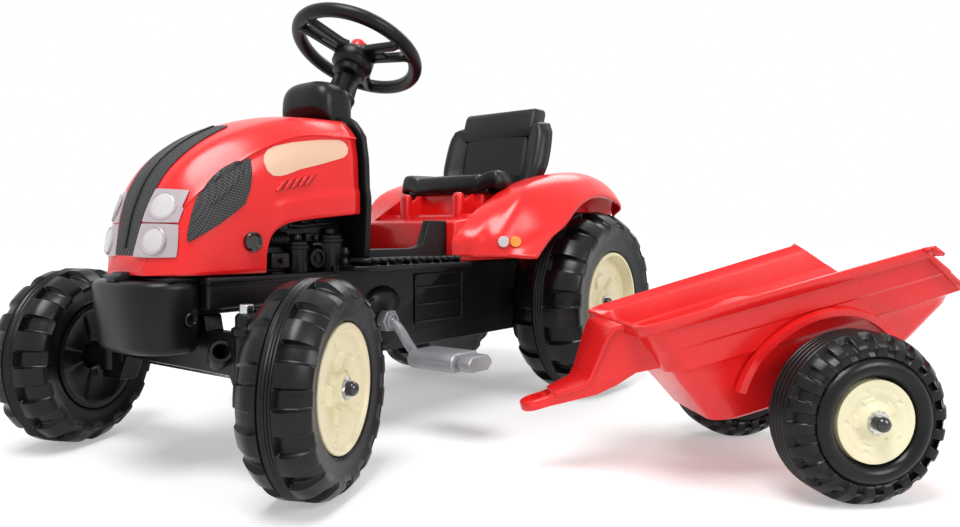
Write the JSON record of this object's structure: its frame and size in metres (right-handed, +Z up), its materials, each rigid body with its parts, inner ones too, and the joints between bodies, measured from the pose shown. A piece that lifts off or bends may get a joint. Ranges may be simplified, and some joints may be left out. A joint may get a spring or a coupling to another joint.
{
  "type": "ride-on pedal tractor with trailer",
  "caption": "Child's pedal tractor with opening bonnet, linked steering, chain drive and bucket seat, beside a tipping trailer for its tow pin.",
  "frame": {"origin": "middle of the set's footprint, on the floor", "axes": "+X forward along the tractor, +Y to the tractor's left, +Z up"},
  "size_m": [0.8668, 0.9014, 0.519],
  "materials": {
    "red_plastic": "glossy injection moulding",
    "black_plastic": "satin moulding",
    "tyre_plastic": "blow-moulded hard tyre",
    "cream_plastic": "wheel discs",
    "grille_plastic": "fine mesh",
    "lamp_plastic": "pale lamp panel",
    "clear_lens": "white lens",
    "amber_lens": "amber lens",
    "bare_steel": "plated rod and plate",
    "black_steel": "black paint",
    "grey_steel": "silver paint",
    "grey_plastic": "silver-grey moulding",
    "cap_plastic": "push-on cap"
  },
  "bodies": {
    "chassis": {"chassis_tub": "black_plastic", "rear_axle_bushes": "black_plastic", "crank_bushes": "black_plastic", "front_axle_beam": "black_steel", "kingpins": "bare_steel", "front_bumper": "black_plastic", "engine_left": "black_plastic", "engine_right": "black_plastic", "dash_cowl": "black_plastic", "hood_hinge_pin": "bare_steel", "rear_body": "red_plastic", "marker_lamps_clear": "clear_lens", "marker_lamps_amber": "amber_lens", "seat_cushion": "black_plastic", "seat_backrest": "black_plastic", "drive_chain": "bare_steel", "tow_hitch": "black_steel"},
    "hood": {"hood": "red_plastic", "grille_strip": "grille_plastic", "headlamp_left": "lamp_plastic", "headlamp_right": "lamp_plastic", "side_grille_left": "grille_plastic", "side_grille_right": "grille_plastic", "hood_plugs": "black_plastic"},
    "knuckle_left": {"knuckle_left": "bare_steel", "front_cap_left": "cap_plastic"},
    "knuckle_right": {"knuckle_right": "bare_steel", "front_cap_right": "cap_plastic"},
    "tie_rod": {"tie_rod": "bare_steel"},
    "steering": {"steering_shaft": "black_steel", "steering_wheel": "black_plastic"},
    "horn": {"horn_button": "red_plastic"},
    "front_wheel_left": {"front_tyre_left": "tyre_plastic", "front_rim_left": "cream_plastic"},
    "front_wheel_right": {"front_tyre_right": "tyre_plastic", "front_rim_right": "cream_plastic"},
    "rear_axle": {"rear_axle": "bare_steel", "rear_cog": "bare_steel", "rear_tyre_left": "tyre_plastic", "rear_rim_left": "cream_plastic", "rear_cap_left": "cap_plastic", "rear_tyre_right": "tyre_plastic", "rear_rim_right": "cream_plastic", "rear_cap_right": "cap_plastic"},
    "crank": {"crank": "grey_steel", "chain_ring": "bare_steel"},
    "pedal_left": {"pedal_left": "grey_plastic"},
    "pedal_right": {"pedal_right": "grey_plastic"},
    "trailer_axle": {"trailer_axle": "bare_steel", "trailer_cap_left": "cap_plastic", "trailer_cap_right": "cap_plastic"},
    "trailer_bed": {"trailer_bed": "red_plastic"},
    "trailer_wheel_left": {"trailer_tyre_left": "tyre_plastic", "trailer_rim_left": "cream_plastic"},
    "trailer_wheel_right": {"trailer_tyre_right": "tyre_plastic", "trailer_rim_right": "cream_plastic"}
  },
  "joints": [
    {"name": "bonnet_hinge", "type": "hinge", "parent": "chassis", "child": "hood", "pos_m": [0.15665, -0.19875, 0.364], "axis": [0, -1, 0], "range_deg": [0, 50]},
    {"name": "kingpin_left", "type": "hinge", "parent": "chassis", "child": "knuckle_left", "pos_m": [0.31665, -0.05475, 0.1], "axis": [0, 0, 1], "range_deg": [-54, 6]},
    {"name": "kingpin_right", "type": "hinge", "parent": "chassis", "child": "knuckle_right", "pos_m": [0.31665, -0.34275, 0.1], "axis": [0, 0, 1], "range_deg": [-54, 6]},
    {"name": "tie_rod_pivot", "type": "hinge", "parent": "knuckle_left", "child": "tie_rod", "pos_m": [0.27554, -0.07305, 0.089], "axis": [0, 0, 1], "range_deg": [-6, 54]},
    {"name": "steering_turn", "type": "hinge", "parent": "chassis", "child": "steering", "pos_m": [0.06965, -0.19875, 0.466], "axis": [-0.4384, 0, 0.8988], "range_deg": [-54, 6]},
    {"name": "horn_press", "type": "slide", "parent": "steering", "child": "horn", "axis": [-0.4384, 0, 0.8988], "range_m": [-0.004, 0], "stiffness_N_per_m": 400, "springref_m": 0.001},
    {"name": "front_spin_left", "type": "hinge", "parent": "knuckle_left", "child": "front_wheel_left", "pos_m": [0.29794, -0.01272, 0.1], "axis": [-0.4067, 0.9135, 0], "continuous": true},
    {"name": "front_spin_right", "type": "hinge", "parent": "knuckle_right", "child": "front_wheel_right", "pos_m": [0.33536, -0.38477, 0.1], "axis": [-0.4067, 0.9135, 0], "continuous": true},
    {"name": "rear_spin", "type": "hinge", "parent": "chassis", "child": "rear_axle", "pos_m": [-0.26835, -0.19875, 0.137], "axis": [0, 1, 0], "continuous": true},
    {"name": "crank_spin", "type": "hinge", "parent": "chassis", "child": "crank", "pos_m": [0.10665, -0.19875, 0.137], "axis": [0, 1, 0], "continuous": true},
    {"name": "pedal_spin_left", "type": "hinge", "parent": "crank", "child": "pedal_left", "pos_m": [0.08165, -0.03075, 0.0937], "axis": [0, 1, 0], "continuous": true},
    {"name": "pedal_spin_right", "type": "hinge", "parent": "crank", "child": "pedal_right", "pos_m": [0.13165, -0.36675, 0.1803], "axis": [0, 1, 0], "continuous": true},
    {"name": "trailer_roll", "type": "slide", "parent": "chassis", "child": "trailer_axle", "axis": [0.7046, -0.7096, 0], "range_m": [-0.3, 0.03]},
    {"name": "trailer_tip", "type": "hinge", "parent": "trailer_axle", "child": "trailer_bed", "pos_m": [-0.06335, 0.30525, 0.077], "axis": [-0.7096, -0.7046, 0], "range_deg": [0, 35]},
    {"name": "trailer_spin_left", "type": "hinge", "parent": "trailer_axle", "child": "trailer_wheel_left", "pos_m": [0.01683, 0.38488, 0.077], "axis": [0.7096, 0.7046, 0], "continuous": true},
    {"name": "trailer_spin_right", "type": "hinge", "parent": "trailer_axle", "child": "trailer_wheel_right", "pos_m": [-0.14353, 0.22563, 0.077], "axis": [0.7096, 0.7046, 0], "continuous": true}
  ],
  "couplings": [
    {"joint": "kingpin_right", "follows": "kingpin_left", "ratio": 1},
    {"joint": "tie_rod_pivot", "follows": "kingpin_left", "ratio": -1},
    {"joint": "steering_turn", "follows": "kingpin_left", "ratio": 1},
    {"joint": "crank_spin", "follows": "rear_spin", "ratio": 0.8}
  ]
}
